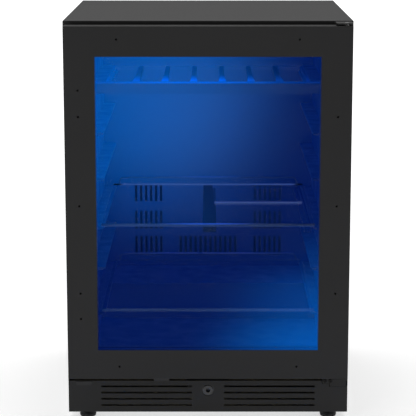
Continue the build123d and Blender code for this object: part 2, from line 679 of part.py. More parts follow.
node("base_grille", base_grille())
node("hinge_blank", fillet(block(-283, -251, CABINET_FRONT - 1.2, CABINET_FRONT, 82, 90)
                           .edges().filter_by(Axis.Y), 1.5))
node("door_sensor", fillet(block(-117, -83, CABINET_FRONT - 1, 60, BASE_TOP, DOOR_BOTTOM - 0.8)
                           .edges().filter_by(Axis.Z), 2))
node("lock_housing", lock_housing())
node("lock_plug", lock_plug())
node("lock_cam", lock_cam())

# ---- levelling legs ----
PAD_R = 18.0


def levelling_leg(x, d):
    """A threaded stem with a hexagon and a foot pad, screwed right in."""
    pad = upright(x, d, PAD_R, 0, 9)
    pad = fillet(pad.edges().group_by(Axis.Z)[-1], 3)
    hexagon = extrude(Plane(origin=(x, depth(d), 9)) * RegularPolygon(10, 6), amount=PAN_BOTTOM - 9.3)
    return pad + hexagon + upright(x, d, STEM_R, 9, 66)


for leg_name, leg_spot in zip(("front_left", "front_right", "rear_left", "rear_right"), LEG_SPOTS):
    node("leg_" + leg_name, levelling_leg(*leg_spot))

# ---- wine rack ----
TRIM_HALF_W = 238.0
TRIM_H = 22.3
TRIM_FRONT = 70.0
TRIM_D = 30.0
RACK_BACK = 450.0
BAR_Z0 = 714.0
BAR_Z1 = 724.0
ROD_PITCH = 61.8
ROD_HALF_W = 5.2
ROD_FLARE = 8.6
FLARE_D0 = 185.0
FLARE_D1 = 270.0
OUTER_RAIL_X = 216.3


def rack_trim():
    """The rack's front rail: a deep top face and a front face, open underneath."""
    solid = block(-TRIM_HALF_W, TRIM_HALF_W, TRIM_FRONT, TRIM_FRONT + TRIM_D, RACK_TOP - TRIM_H, RACK_TOP)
    solid = fillet(solid.edges().filter_by(Axis.X).group_by(Axis.Y)[0].sort_by(Axis.Z)[-1], 2)
    return solid - block(-TRIM_HALF_W + 3, TRIM_HALF_W - 3, TRIM_FRONT + 4, TRIM_FRONT + TRIM_D + 1,
                         RACK_TOP - TRIM_H - 1, RACK_TOP - 4)


def rack_frame():
    """The side rails and the rear bar of the rack, welded into a U."""
    front = TRIM_FRONT + 4
    side = block(OUTER_RAIL_X - 3, OUTER_RAIL_X + 3, front, RACK_BACK, BAR_Z0, BAR_Z1)
    rear = block(-OUTER_RAIL_X, OUTER_RAIL_X, RACK_BACK - 6, RACK_BACK, BAR_Z0, BAR_Z1)
    return side + mirror(side, about=Plane.YZ) + rear


def rack_rods():
    """Six bars that the bottles lie between, flared where they meet the front rail."""
    bars = []
    for i in range(6):
        x = (i - 2.5) * ROD_PITCH
        right = [(x + ROD_FLARE, TRIM_FRONT + 4), (x + ROD_FLARE, FLARE_D0), (x + ROD_HALF_W, FLARE_D1),
                 (x + ROD_HALF_W, RACK_BACK - 6)]
        left = [(2 * x - px, d) for px, d in reversed(right)]
        outline = Polyline(*[(px, depth(d), BAR_Z0) for px, d in right + left], close=True)
        bar = extrude(make_face(outline), amount=BAR_Z1 - BAR_Z0, dir=(0, 0, 1))
        bars.append(fillet(bar.edges().filter_by(Axis.Y).group_by(Axis.Z)[-1], 2))
    return bars


def rack_slides():
    """Fixed channels on the cavity's walls that the rack's side rails run on."""
    slide = block(OUTER_RAIL_X - 5, HALF_CAVITY - GAP, 104, 480, BAR_Z0 - 8.3, BAR_Z0 - 0.3)
    guard = block(OUTER_RAIL_X + 4, HALF_CAVITY - GAP, 104, 480, BAR_Z0 - 0.3, BAR_Z1)
    return mirrored(slide + guard)


node("rack_trim", rack_trim())
node("rack_frame", rack_frame())
node("rack_rods", rack_rods())
node("rack_slides", rack_slides())

# ---- glass shelves ----
SHELF_HALF_W = 227.0
SHELF_FRONT = 70.0
SHELF_BACK = 528.0
HALF_GLASS_T = 5.0
HALF_GLASS_Z = 417.0
HALF_GLASS_FRONT = 340.0
HALF_GLASS_BACK = 524.0
HALF_GLASS_X0 = 13.5
HALF_GLASS_X1 = 215.5
CHANNEL_FRONT = 76.0
CHANNEL_BACK = 526.0
CHANNEL_Z = 412.0
CHANNEL_LIP = 17.5
WIRE_R = 1.6
WIRE_X = 212.0
WIRE_RISE = 16.0


def glass_shelf(top):
    """A toughened glass shelf with ground edges."""
    pane = block(-SHELF_HALF_W, SHELF_HALF_W, SHELF_FRONT, SHELF_BACK, top - GLASS_SHELF_T, top)
    pane = fillet(pane.edges().filter_by(Axis.Z), 4)
    return fillet(pane.edges().filter_by(Axis.X), 1.2)


def wire_rail(top):
    """A wire arch along the back of a shelf that keeps bottles off the rear wall."""
    d = SHELF_BACK - 8
    points = [(-WIRE_X, d, top), (-WIRE_X, d, top + WIRE_RISE), (WIRE_X, d, top + WIRE_RISE),
              (WIRE_X, d, top)]
    return tube_along(points, WIRE_R, 11)


def half_shelf_rails():
    """The centre channel under the upper shelf and the channel at the right wall."""
    under = SHELF_UPPER_TOP - GLASS_SHELF_T - GAP
    centre = block(-11, 11, CHANNEL_FRONT, CHANNEL_BACK, HALF_GLASS_Z + HALF_GLASS_T + 0.6, under)
    centre = centre + block(-11, 8, CHANNEL_FRONT, CHANNEL_BACK, CHANNEL_Z, HALF_GLASS_Z + HALF_GLASS_T + 0.6)
    centre = centre + block(8, CHANNEL_LIP, CHANNEL_FRONT, CHANNEL_BACK, CHANNEL_Z, HALF_GLASS_Z - 0.4)
    wall = HALF_CAVITY - LEDGE_REACH - GAP
    right = block(wall - 3.4, wall, CHANNEL_FRONT, CHANNEL_BACK, CHANNEL_Z, under)
    right = right + block(wall - 14, wall - 3.4, CHANNEL_FRONT, CHANNEL_BACK, CHANNEL_Z, HALF_GLASS_Z - 0.4)
    return [centre, right]


node("shelf_upper", glass_shelf(SHELF_UPPER_TOP))
node("shelf_lower", glass_shelf(SHELF_LOWER_TOP))
node("half_shelf", block(HALF_GLASS_X0, HALF_GLASS_X1, HALF_GLASS_FRONT, HALF_GLASS_BACK, HALF_GLASS_Z,
                         HALF_GLASS_Z + HALF_GLASS_T))
node("half_shelf_rails", half_shelf_rails())
node("wire_rails", [wire_rail(SHELF_UPPER_TOP), wire_rail(SHELF_LOWER_TOP)])

os.makedirs("parts", exist_ok=True)
for name, solids in NODES.items():
    shape = solids[0] if len(solids) == 1 else Compound(children=solids)
    export_step(shape, f"parts/{name}.step")
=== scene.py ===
import json
import math

import bmesh
import bpy
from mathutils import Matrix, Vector


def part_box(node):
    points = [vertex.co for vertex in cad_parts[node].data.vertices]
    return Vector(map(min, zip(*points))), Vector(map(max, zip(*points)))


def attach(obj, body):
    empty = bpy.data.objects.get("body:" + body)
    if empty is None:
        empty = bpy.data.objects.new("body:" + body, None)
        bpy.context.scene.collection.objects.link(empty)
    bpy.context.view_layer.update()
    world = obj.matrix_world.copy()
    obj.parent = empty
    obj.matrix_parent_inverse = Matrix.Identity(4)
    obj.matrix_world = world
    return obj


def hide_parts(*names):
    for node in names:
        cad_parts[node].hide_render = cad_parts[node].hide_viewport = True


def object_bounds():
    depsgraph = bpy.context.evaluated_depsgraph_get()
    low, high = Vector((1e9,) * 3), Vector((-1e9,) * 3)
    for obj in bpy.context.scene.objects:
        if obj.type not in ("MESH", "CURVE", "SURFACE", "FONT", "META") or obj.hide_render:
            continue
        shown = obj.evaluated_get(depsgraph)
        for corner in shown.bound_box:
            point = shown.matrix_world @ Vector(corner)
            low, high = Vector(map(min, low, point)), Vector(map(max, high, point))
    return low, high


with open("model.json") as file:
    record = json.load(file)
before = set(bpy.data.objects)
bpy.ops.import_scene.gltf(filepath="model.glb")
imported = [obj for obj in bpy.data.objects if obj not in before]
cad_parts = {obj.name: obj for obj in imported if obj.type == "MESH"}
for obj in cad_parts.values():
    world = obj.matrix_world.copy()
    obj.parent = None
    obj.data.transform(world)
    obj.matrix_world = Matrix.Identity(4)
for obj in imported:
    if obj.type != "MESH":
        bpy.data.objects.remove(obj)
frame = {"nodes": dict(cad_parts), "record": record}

CAD_LO, CAD_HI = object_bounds()
NODES = frame["nodes"]
FRONT = CAD_LO.y
scene = bpy.context.scene
scene.view_settings.view_transform = "Standard"


# ---------------------------------------------------------------- camera

CAMERA_DISTANCE = 3.300     # from the door's face
CAMERA_HEIGHT = 1.1575
CAMERA_DOWN = 0.1909        # radians below the horizon
CAMERA_LENS = 140.47        # millimetres, on a sensor 36 mm wide
CAMERA_SHIFT = -0.045


def make_camera():
    data = bpy.data.cameras.new("camera")
    data.lens = CAMERA_LENS
    data.sensor_width = 36.0
    data.shift_y = CAMERA_SHIFT
    data.clip_start = 0.1
    data.clip_end = 60.0
    camera = bpy.data.objects.new("camera", data)
    camera.location = (0.0, FRONT - CAMERA_DISTANCE, CAMERA_HEIGHT)
    camera.rotation_euler = (math.pi / 2 - CAMERA_DOWN, 0.0, 0.0)
    scene.collection.objects.link(camera)
    scene.camera = camera


make_camera()

# ---------------------------------------------------------------- studio

FRONT_LIGHT = 0.128         # strength of the surroundings' light from the front
BACK_LIGHT = 0.496          # and from behind
FLOOR_RADIUS = 20.0
FLOOR_DROP = 0.0005         # below the feet, so that the two don't flicker
FLOOR_GLOW = 0.52           # the floor's own light near the object
WHITE_BEHIND = (0.6, 4.0)   # where the glow starts to grow behind the object, and where it is full
WHITE_AROUND = (9.0, 14.0)  # the same on the other sides
SIDEWAYS = 3.0              # how many times nearer that is to the left and right


def area_light(name, at, towards, size, power, colour=(1, 1, 1), height=None):
    """A lamp that the camera doesn't see, square unless it has a height."""
    data = bpy.data.lights.new(name, "AREA")
    data.energy = power
    data.color = colour
    data.size = size
    if height:
        data.shape = "RECTANGLE"
        data.size_y = height
    lamp = bpy.data.objects.new(name, data)
    lamp.location = at
    lamp.rotation_euler = (Vector(towards) - Vector(at)).to_track_quat("-Z", "Y").to_euler()
    lamp.visible_camera = False
    scene.collection.objects.link(lamp)


def ranged(nt, value, low, high, start=0.0, end=1.0):
    """Carries start to end over to low to high, and holds the value there beyond them."""
    n = nt.nodes.new("ShaderNodeMapRange")
    n.inputs["From Min"].default_value = start
    n.inputs["From Max"].default_value = end
    n.inputs["To Min"].default_value = low
    n.inputs["To Max"].default_value = high
    nt.links.new(value, n.inputs["Value"])
    return n.outputs["Result"]


def make_world():
    """White to the camera. Its light is strong from behind and weak from the front, as in a studio."""
    world = bpy.data.worlds.new("studio")
    world.use_nodes = True
    scene.world = world
    nt = world.node_tree
    nt.nodes.clear()
    split = nt.nodes.new("ShaderNodeSeparateXYZ")
    pick = nt.nodes.new("ShaderNodeMix")
    pick.inputs["B"].default_value = 1.0
    back = nt.nodes.new("ShaderNodeBackground")
    back.inputs["Color"].default_value = (1, 1, 1, 1)
    nt.links.new(nt.nodes.new("ShaderNodeTexCoord").outputs["Generated"], split.inputs[0])
    nt.links.new(nt.nodes.new("ShaderNodeLightPath").outputs["Is Camera Ray"], pick.inputs["Factor"])
    nt.links.new(ranged(nt, split.outputs["Y"], FRONT_LIGHT, BACK_LIGHT, -0.6, 0.5), pick.inputs["A"])
    nt.links.new(pick.outputs["Result"], back.inputs["Strength"])
    nt.links.new(back.outputs[0], nt.nodes.new("ShaderNodeOutputWorld").inputs[0])


def make_floor():
    """A pale floor with a faint glow of its own, which grows to white behind the object and far away."""
    mesh = bpy.data.meshes.new("floor")
    bm = bmesh.new()
    bmesh.ops.create_circle(bm, cap_ends=True, segments=64, radius=FLOOR_RADIUS)
    bm.to_mesh(mesh)
    bm.free()
    floor = bpy.data.objects.new("floor", mesh)
    floor.location.z = CAD_LO.z - FLOOR_DROP
    scene.collection.objects.link(floor)
    m = bpy.data.materials.new("floor_pale")
    m.use_nodes = True
    p = m.node_tree.nodes["Principled BSDF"]
    p.inputs["Base Color"].default_value = (0.9, 0.9, 0.9, 1)
    p.inputs["Roughness"].default_value = 0.9
    p.inputs["Emission Color"].default_value = (1, 1, 1, 1)
    nt = m.node_tree
    coord = nt.nodes.new("ShaderNodeTexCoord").outputs["Object"]
    split = nt.nodes.new("ShaderNodeSeparateXYZ")
    stretch = nt.nodes.new("ShaderNodeVectorMath")
    stretch.operation = "MULTIPLY"
    stretch.inputs[1].default_value = (SIDEWAYS, 1.0, 0.0)
    away = nt.nodes.new("ShaderNodeVectorMath")
    away.operation = "LENGTH"
    brighter = nt.nodes.new("ShaderNodeMath")
    brighter.operation = "MAXIMUM"
    nt.links.new(coord, split.inputs[0])
    nt.links.new(coord, stretch.inputs[0])
    nt.links.new(stretch.outputs[0], away.inputs[0])
    nt.links.new(ranged(nt, split.outputs["Y"], FLOOR_GLOW, 1.0, *WHITE_BEHIND), brighter.inputs[0])
    nt.links.new(ranged(nt, away.outputs["Value"], FLOOR_GLOW, 1.0, *WHITE_AROUND), brighter.inputs[1])
    nt.links.new(brighter.outputs[0], p.inputs["Emission Strength"])
    mesh.materials.append(m)


make_world()
make_floor()
area_light("top_softbox", at=(0.0, 0.2, 3.4), towards=(0, 0, 0.5), size=3.0, power=48)
area_light("front_fill", at=(-1.6, -3.2, 2.6), towards=(0, 0, 0.4), size=1.6, power=14)


# ---------------------------------------------------------------- materials

class Shader:
    """A Principled material, built step by step in object space, where one unit is a metre."""

    def __init__(self, name, colour, roughness, metallic=0.0, specular=0.5):
        self.m = bpy.data.materials.new(name)
        self.m.use_nodes = True
        self.nt = self.m.node_tree
        self.p = self.nt.nodes["Principled BSDF"]
        self.p.inputs["Base Color"].default_value = (*colour, 1)
        self.p.inputs["Roughness"].default_value = roughness
        self.p.inputs["Metallic"].default_value = metallic
        self.p.inputs["Specular IOR Level"].default_value = specular
        self.coord = self.nt.nodes.new("ShaderNodeTexCoord").outputs["Object"]
        self.base = colour

    def node(self, kind, **inputs):
        n = self.nt.nodes.new(kind)
        for key, value in inputs.items():
            n.inputs[key].default_value = value
        return n

    def link(self, a, b):
        self.nt.links.new(a, b)

    def stretched(self, scale):
        """Object coordinates multiplied along each axis."""
        mapping = self.node("ShaderNodeMapping")
        mapping.inputs["Scale"].default_value = scale
        self.link(self.coord, mapping.inputs["Vector"])
        return mapping.outputs[0]

    def noise(self, scale, detail=3.0, stretch=(1, 1, 1)):
        n = self.node("ShaderNodeTexNoise", Scale=scale, Detail=detail)
        self.link(self.stretched(stretch), n.inputs["Vector"])
        return n.outputs["Fac"]

    def cells(self, scale, output="Distance"):
        n = self.node("ShaderNodeTexVoronoi", Scale=scale)
        self.link(self.stretched((1, 1, 1)), n.inputs["Vector"])
        return n.outputs[output]

    def ranged(self, value, low, high, start=0.0, end=1.0):
        return ranged(self.nt, value, low, high, start, end)

    def mix(self, amount, a, b, blend="MIX"):
        """Blends colour a with colour b. Each is three numbers or a socket."""
        n = self.nt.nodes.new("ShaderNodeMix")
        n.data_type = "RGBA"
        n.blend_type = blend
        self.link(amount, n.inputs["Factor"])
        for key, colour in (("A", a), ("B", b)):
            if isinstance(colour, tuple):
                n.inputs[key].default_value = (*colour, 1)
            else:
                self.link(colour, n.inputs[key])
        return n.outputs["Result"]

    def vary_colour(self, value, other, start=0.35, end=0.65):
        """Mixes the base colour with another by a texture value."""
        self.base = self.mix(self.ranged(value, 0, 1, start, end), self.base, other)
        self.link(self.base, self.p.inputs["Base Color"])
        return self

    def vary_roughness(self, value, low, high):
        self.link(self.ranged(value, low, high, 0.3, 0.7), self.p.inputs["Roughness"])
        return self

    def raise_by(self, value, height):
        """Bumps the surface by a texture value, to a height in metres."""
        n = self.node("ShaderNodeBump", Strength=1.0, Distance=height)
        self.link(value, n.inputs["Height"])
        self.link(n.outputs[0], self.p.inputs["Normal"])
        return self

    def combine(self, a, b, how="ADD"):
        """The sum, product or maximum of two values, each a number or a socket."""
        n = self.nt.nodes.new("ShaderNodeMath")
        n.operation = how
        for i, value in enumerate((a, b)):
            if isinstance(value, (int, float)):
                n.inputs[i].default_value = value
            else:
                self.link(value, n.inputs[i])
        return n.outputs[0]

    def lobe(self, centre, reach):
        """1 at a point and falling smoothly to 0 at the given reach along each axis."""
        mapping = self.node("ShaderNodeMapping")
        mapping.inputs["Scale"].default_value = [1 / r for r in reach]
        mapping.inputs["Location"].default_value = [-c / r for c, r in zip(centre, reach)]
        self.link(self.coord, mapping.inputs["Vector"])
        length = self.nt.nodes.new("ShaderNodeVectorMath")
        length.operation = "LENGTH"
        self.link(mapping.outputs[0], length.inputs[0])
        n = self.node("ShaderNodeMapRange")
        n.interpolation_type = "SMOOTHERSTEP"
        n.inputs["To Min"].default_value = 1.0
        n.inputs["To Max"].default_value = 0.0
        self.link(length.outputs["Value"], n.inputs["Value"])
        return n.outputs["Result"]



# Colours of the painted glow that stands in for the blue lamps' light in the cavity: deep where it is painted
# dim, bright where it is painted strong
GLOW_DEEP = (0.0003, 0.0080, 0.090)
GLOW_BRIGHT = (0.0005, 0.087, 0.405)
# a painted warm tint of light in the middle of the cavity
PAINTED_WARM_LIGHT = (0.0052, 0.0030, 0.0)
# the painted shade behind the duct's cover
BEHIND_DUCT = (0.0, 0.0035, 0.028)
BLACK = (0.0, 0.0, 0.0)
# the painted glow on the rack's front rail
RAIL_DEEP = (0.0, 0.012, 0.105)
RAIL_BRIGHT = (0.002, 0.090, 0.41)
# the painted glow on the shelves' glass edges
EDGE_DEEP = (0.005, 0.030, 0.16)
EDGE_BRIGHT = (0.012, 0.13, 0.60)

FREE = 9.0                              # a reach so long that its axis makes no difference
# Pools of painted light in the cavity, as centre and reach: the top left, the bottom right, a stripe down the
# middle and the warm tint
UPPER_LIGHT = ((-0.14, 0.0, 0.66), (0.44, FREE, 0.46))      # centre and reach
LOWER_LIGHT = ((0.26, -0.25, 0.12), (0.36, 0.64, 0.36))
MIDDLE_LIGHT = ((-0.03, 0.0, 0.0), (0.30, FREE, FREE))
PAINTED_WARM_PLACE = ((-0.02, 0.23, 0.55), (0.22, 0.12, 0.30))
SIDE_SHARE = 0.30                       # of the middle's painted light that also reaches the sides
SOFT = 0.008                            # over which the glow ends at a limit
WINDOW_LIMITS = (0.232, 0.166, 0.802)   # half width, bottom and top
REAR_EDGE_LIMITS = (0.204, 0.0, 0.9)
DUCT_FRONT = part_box("duct_cover")[0].y
# over these depths the painted glow fades to the painted shade behind the duct's cover
DUCT_FADE = (DUCT_FRONT + 0.003, DUCT_FRONT + 0.006)
RAIL_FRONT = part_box("rack_trim")[0].y
RAIL_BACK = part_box("rack_trim")[1].y
BAR_PAINTED_REACH = 0.09                          # how far behind the rail the front lamp's painted highlight reaches on the bars


def place(s, axis):
    """The object-space coordinate along an axis."""
    split = s.nt.nodes.new("ShaderNodeSeparateXYZ")
    s.link(s.coord, split.inputs[0])
    return split.outputs[axis]


def facing_up(s):
    """1 on faces that look up, 0 on the rest."""
    split = s.nt.nodes.new("ShaderNodeSeparateXYZ")
    s.link(s.nt.nodes.new("ShaderNodeNewGeometry").outputs["Normal"], split.inputs[0])
    return s.ranged(split.outputs["Z"], 0.0, 1.0, 0.5, 0.95)


def inside(s, limits):
    """1 within a half width and between two heights, 0 outside them."""
    half_width, low, high = limits
    across = s.combine(place(s, "X"), 0, "ABSOLUTE")
    up = place(s, "Z")
    within = s.ranged(across, 1.0, 0.0, half_width, half_width + SOFT)
    within = s.combine(within, s.ranged(up, 0.0, 1.0, low - SOFT, low), "MULTIPLY")
    return s.combine(within, s.ranged(up, 1.0, 0.0, high, high + SOFT), "MULTIPLY")


def painted_blue_glow(s, strength, deep=GLOW_DEEP, bright=GLOW_BRIGHT, limits=None):
    """The lamps' light inside the cavity, painted on as the surface's own glow: strong at the top left and
    the bottom right, with a painted warm tint, and faint behind the duct's cover as painted shade. It can be
    kept within limits, and is black outside them."""
    light = s.mix(s.combine(s.lobe(*UPPER_LIGHT), s.lobe(*LOWER_LIGHT)), deep, bright)
    warm_tinted = s.mix(s.lobe(*PAINTED_WARM_PLACE), light, PAINTED_WARM_LIGHT, "ADD")
    shown = s.ranged(place(s, "Y"), 1.0, 0.0, *DUCT_FADE)
    if limits:
        shown = s.combine(shown, inside(s, limits), "MULTIPLY")
    s.link(s.mix(shown, BLACK if limits else BEHIND_DUCT, warm_tinted), s.p.inputs["Emission Color"])
    s.p.inputs["Emission Strength"].default_value = strength
    return s


def add_painted_light(s, amount, colour):
    """Adds a painted light's colour to the glow, by an amount from 0 to 1."""
    glow = s.p.inputs["Emission Color"]
    s.link(s.mix(amount, glow.links[0].from_socket, colour, "ADD"), glow)
    return s


def paint_light_from_above(s, colour, front, reach):
    """Paints the front lamp's light as a highlight on faces that look up, most in the middle and near the
    front.
    """
    near = s.ranged(place(s, "Y"), 1.0, 0.0, front, front + reach)
    across = s.combine(s.lobe(*MIDDLE_LIGHT), SIDE_SHARE, "MAXIMUM")
    amount = s.combine(s.combine(near, facing_up(s), "MULTIPLY"), across, "MULTIPLY")
    return add_painted_light(s, amount, colour)



def black_paint():
    s = Shader("powder_coat_black", (0.0176, 0.0176, 0.0178), 0.52, specular=0.22)
    s.vary_colour(s.noise(5.0, 3.0), (0.0192, 0.0191, 0.0193))
    s.vary_roughness(s.noise(420.0, 3.0), 0.48, 0.53)
    return s.raise_by(s.noise(1500.0, 2.0), 0.00004)


def black_plastic():
    s = Shader("moulded_black", (0.014, 0.014, 0.015), 0.5, specular=0.4)
    s.vary_colour(s.noise(12.0, 4.0), (0.02, 0.02, 0.021))
    s.vary_roughness(s.noise(60.0, 3.0), 0.44, 0.58)
    return s.raise_by(s.cells(1400.0), 0.00005)


def liner_plastic(name, strength):
    s = Shader(name, (0.003, 0.010, 0.030), 0.42, specular=0.14)
    s.vary_colour(s.noise(9.0, 4.0), (0.004, 0.013, 0.036))
    s.vary_roughness(s.noise(30.0, 4.0), 0.32, 0.46)
    s.raise_by(s.noise(500.0, 2.0), 0.00008)
    # the lamps' light painted on the wall as a glow
    return painted_blue_glow(s, strength)


def galvanised():
    s = Shader("galvanised_sheet", (0.40, 0.41, 0.42), 0.42, metallic=0.9)
    s.vary_colour(s.cells(120.0, output="Color"), (0.47, 0.48, 0.49), 0.2, 0.8)
    s.vary_colour(s.noise(6.0, 4.0), (0.36, 0.37, 0.38))
    s.vary_roughness(s.cells(120.0), 0.36, 0.5)
    return s.raise_by(s.noise(220.0, 4.0), 0.00008)


def steel(name, shade, rough, stretch=(1, 1, 60)):
    s = Shader(name, (shade, shade, shade * 1.01), rough, metallic=1.0)
    s.vary_colour(s.noise(90.0, 4.0, stretch), (shade * 1.25, shade * 1.25, shade * 1.26))
    s.vary_roughness(s.noise(160.0, 3.0, stretch), rough * 0.8, rough * 1.25)
    return s.raise_by(s.noise(400.0, 3.0, stretch), 0.00003)


def foam():
    s = Shader("insulation_foam", (0.72, 0.60, 0.34), 0.9)
    s.vary_colour(s.cells(260.0), (0.82, 0.72, 0.45), 0.1, 0.9)
    return s.raise_by(s.cells(420.0), 0.0006)


def door_glass():
    s = Shader("door_pane", (0.006, 0.008, 0.012), 0.02, specular=0.4)
    s.p.inputs["Alpha"].default_value = 0.015
    return s


def shelf_glass():
    s = Shader("shelf_glass", (0.70, 0.90, 0.98), 0.01, specular=0.25)
    s.p.inputs["Transmission Weight"].default_value = 1.0
    s.p.inputs["IOR"].default_value = 1.03
    return s


def rubber():
    s = Shader("seal_rubber", (0.012, 0.012, 0.012), 0.7, specular=0.3)
    s.vary_colour(s.noise(45.0, 4.0), (0.02, 0.02, 0.02))
    return s.raise_by(s.noise(700.0, 3.0), 0.0001)


def copper():
    s = Shader("copper_tube", (0.72, 0.36, 0.22), 0.3, metallic=1.0)
    s.vary_colour(s.noise(60.0, 5.0), (0.45, 0.22, 0.13))
    s.vary_roughness(s.noise(90.0, 4.0), 0.22, 0.45)
    return s.raise_by(s.noise(500.0), 0.00004)


def fins():
    s = Shader("fin_alloy", (0.62, 0.63, 0.65), 0.35, metallic=1.0)
    s.vary_colour(s.noise(120.0, 4.0, (1, 1, 8)), (0.5, 0.51, 0.53))
    return s.raise_by(s.noise(300.0, 3.0), 0.00008)


def nylon():
    s = Shader("nylon_natural", (0.62, 0.60, 0.54), 0.45)
    s.vary_colour(s.noise(80.0, 3.0), (0.7, 0.68, 0.62))
    return s.raise_by(s.noise(900.0), 0.00004)


def compressor_enamel():
    s = Shader("compressor_enamel", (0.008, 0.008, 0.009), 0.28, specular=0.5)
    s.vary_roughness(s.noise(40.0, 4.0), 0.2, 0.4)
    return s.raise_by(s.noise(260.0, 3.0), 0.0001)


def lamp_cover():
    s = Shader("lamp_diffuser", (0.10, 0.16, 0.34), 0.5)
    s.vary_colour(s.noise(200.0), (0.13, 0.20, 0.40))
    s.p.inputs["Emission Color"].default_value = (0.0, 0.09, 0.75, 1)
    s.p.inputs["Emission Strength"].default_value = 0.9
    return s


def rack_coat_painted_glow():
    """The rack's brushed front rail and bars, with the lamps' light painted on as a glow and a painted
    highlight on top near the front.
    """
    s = Shader("rack_coat_painted_glow", (0.005, 0.007, 0.010), 0.5, specular=0.1)
    s.vary_colour(s.noise(240.0, 3.0, (0.04, 1, 1)), (0.008, 0.010, 0.014))
    s.raise_by(s.noise(900.0, 2.0, (0.05, 1, 1)), 0.00004)
    painted_blue_glow(s, 0.92, RAIL_DEEP, RAIL_BRIGHT)
    return paint_light_from_above(s, (0.0, 0.055, 0.48), RAIL_FRONT, 0.05)


def rack_bar():
    """The rack's thin bars, with a painted glow dimmer than the wall's behind them and a painted highlight on
    the tops of their front ends.
    """
    s = Shader("rack_bar", (0.010, 0.014, 0.022), 0.5, specular=0.25)
    s.vary_colour(s.noise(240.0, 3.0, (1, 0.04, 1)), (0.014, 0.018, 0.028))
    s.raise_by(s.noise(900.0, 2.0, (1, 0.05, 1)), 0.00004)
    painted_blue_glow(s, 0.62)
    return paint_light_from_above(s, (0.0, 0.13, 1.0), RAIL_BACK + BAR_PAINTED_REACH, BAR_PAINTED_REACH)


def rack_side():
    """The rack's side rails and rear bar, which take the wall's painted glow and get a painted highlight at
    the front.
    """
    s = Shader("rack_side", (0.004, 0.010, 0.026), 0.45, specular=0.25)
    s.vary_colour(s.noise(240.0, 3.0, (1, 0.04, 1)), (0.006, 0.014, 0.032))
    s.raise_by(s.noise(900.0, 2.0, (1, 0.05, 1)), 0.00004)
    painted_blue_glow(s, 1.0)
    return paint_light_from_above(s, (0.0, 0.05, 0.42), RAIL_BACK + BAR_PAINTED_REACH, BAR_PAINTED_REACH)


def door_inside():
    """The black profile round the window, whose inner edge gets the lamps' light as a painted glow."""
    s = Shader("door_inside", (0.006, 0.007, 0.010), 0.4, specular=0.3)
    s.vary_colour(s.noise(60.0, 3.0), (0.009, 0.010, 0.014))
    s.raise_by(s.noise(900.0, 2.0), 0.00004)
    return painted_blue_glow(s, 0.75, limits=WINDOW_LIMITS)


def channel_coat_painted_glow():
    """The channels that hold the half shelf: a weak painted glow in the middle, as painted shade, and a
    painted glow like the wall's at the right.
    """
    s = Shader("channel_coat_painted_glow", (0.003, 0.006, 0.012), 0.55, specular=0.1)
    s.vary_colour(s.noise(60.0, 4.0), (0.005, 0.009, 0.016))
    s.raise_by(s.noise(900.0, 2.0), 0.00005)
    painted_blue_glow(s, 0.95)
    # the painted glow is weaker towards the middle, as painted shade
    s.link(s.ranged(place(s, "X"), 0.30, 0.95, 0.03, 0.18), s.p.inputs["Emission Strength"])
    return s


def plated_wire_painted_highlight():
    """Thin wire that takes the wall's painted glow, with a painted highlight along a stretch in the middle.
    """
    s = Shader("plated_wire_painted_highlight", (0.012, 0.020, 0.035), 0.3, specular=0.5)
    s.vary_roughness(s.noise(120.0, 3.0), 0.25, 0.4)
    s.raise_by(s.noise(800.0), 0.00002)
    painted_blue_glow(s, 0.7)
    # painted highlights on the upper and the lower rails' tops, where the top lamp would reflect
    upper = s.lobe((0.0, 0.2, 0.45), (0.12, FREE, 0.1))
    lower = s.lobe((0.0, 0.2, 0.262), (0.34, FREE, 0.02))
    amount = s.combine(s.combine(upper, s.combine(lower, 0.9, "MULTIPLY")), facing_up(s), "MULTIPLY")
    return add_painted_light(s, amount, (0.02, 0.10, 0.75))


def ground_edge(name, strength, deep=EDGE_DEEP, bright=EDGE_BRIGHT, limits=None):
    """A shelf glass's ground edge, with the lamps' light painted on as a glow."""
    s = Shader(name, (0.010, 0.018, 0.028), 0.5, specular=0.15)
    s.vary_colour(s.noise(300.0, 4.0), (0.015, 0.025, 0.038))
    s.raise_by(s.noise(1200.0, 3.0), 0.00004)
    return painted_blue_glow(s, strength, deep, bright, limits)


def upper_bevel():
    """The bevel above a shelf's front edge, with a painted highlight in the middle where the top lamp reaches
    it.
    """
    s = ground_edge("glass_bevel_above", 0.6, GLOW_DEEP, GLOW_BRIGHT)
    return add_painted_light(s, s.lobe((0.0, -0.23, 0.432), (0.13, 0.1, 0.05)), (0.012, 0.13, 1.1))


def black_steel():
    s = Shader("blackened_steel", (0.030, 0.030, 0.032), 0.42, metallic=0.7)
    s.vary_colour(s.noise(200.0, 4.0), (0.05, 0.05, 0.052))
    s.vary_roughness(s.noise(300.0, 3.0), 0.35, 0.5)
    return s.raise_by(s.noise(600.0, 3.0), 0.00003)


def oxide_screw():
    s = Shader("oxide_screw", (0.006, 0.006, 0.006), 0.6, specular=0.2)
    s.vary_colour(s.noise(400.0, 3.0), (0.012, 0.011, 0.010))
    return s.raise_by(s.noise(900.0, 3.0), 0.00003)


def channel_alloy():
    s = Shader("lamp_channel", (0.35, 0.38, 0.44), 0.35, metallic=0.9)
    s.vary_colour(s.noise(200.0, 3.0, (1, 1, 0.05)), (0.45, 0.48, 0.54))
    return s.raise_by(s.noise(400.0, 3.0, (1, 1, 0.05)), 0.00003)


